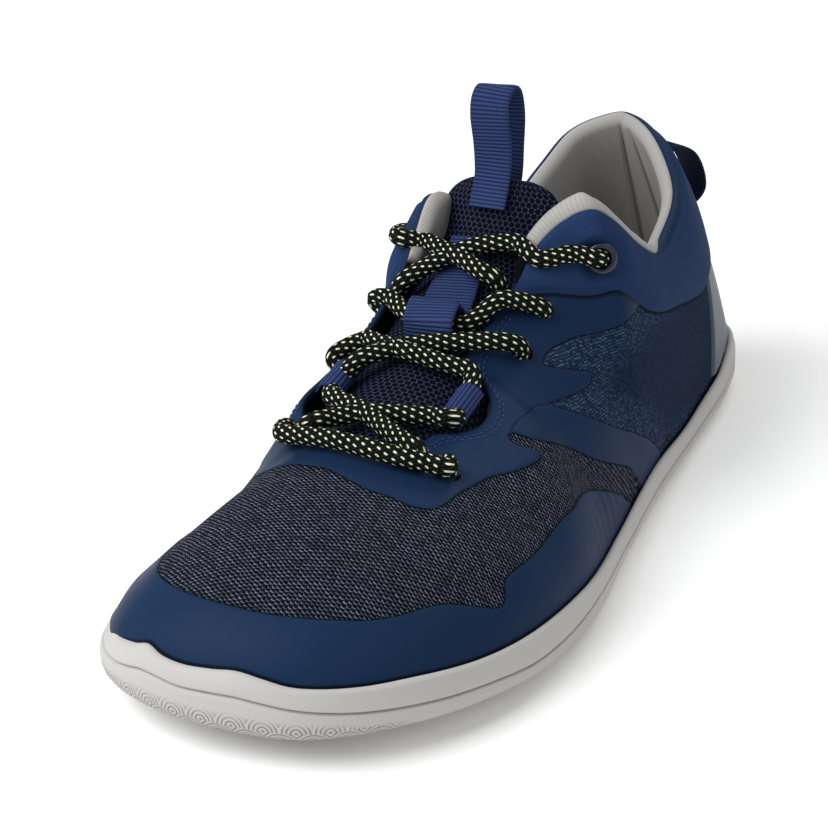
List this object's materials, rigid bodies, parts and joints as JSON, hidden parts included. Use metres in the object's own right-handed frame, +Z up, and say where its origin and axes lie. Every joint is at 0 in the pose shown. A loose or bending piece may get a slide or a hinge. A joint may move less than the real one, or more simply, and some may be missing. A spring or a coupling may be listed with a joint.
{
  "type": "barefoot shoe",
  "caption": "Left low barefoot trainer: hollow fabric upper on a thin light cup sole, wide toe box, padded collar, mesh tongue with pull loop, round lace.",
  "frame": {"origin": "on the floor, under the middle of the sole's outline", "axes": "+Z up, -Y towards the toe, +X towards the wearer's left, the shoe's outer side"},
  "size_m": [0.1112, 0.2798, 0.1218],
  "materials": {
    "sole_rubber": "matt light grey moulded rubber",
    "upper_fabric": "navy mesh and knit with bonded film overlays",
    "insole_foam": "grey fabric over thin foam",
    "counter_shell": "grey-blue moulded shell, slight gloss",
    "tongue_mesh": "dark navy open mesh",
    "webbing": "navy ribbed webbing",
    "lace_cord": "near black round cord with pale yellow-green flecks",
    "eyelet_plastic": "dark navy ring"
  },
  "bodies": {
    "root": {"sole": "sole_rubber", "upper": "upper_fabric", "insole": "insole_foam", "heel_counter": "counter_shell", "tongue": "tongue_mesh", "tongue_strap": "webbing", "tongue_pull_loop": "webbing", "heel_pull_loop": "webbing", "lace_loop_lateral": "webbing", "lace_loop_medial": "webbing", "eyelet_lateral": "eyelet_plastic", "eyelet_medial": "eyelet_plastic", "lace_bar_front": "lace_cord", "lace_cross_low": "lace_cord", "lace_cross_mid": "lace_cord", "lace_bar_keeper": "lace_cord", "lace_cross_top": "lace_cord"}
  },
  "joints": []
}
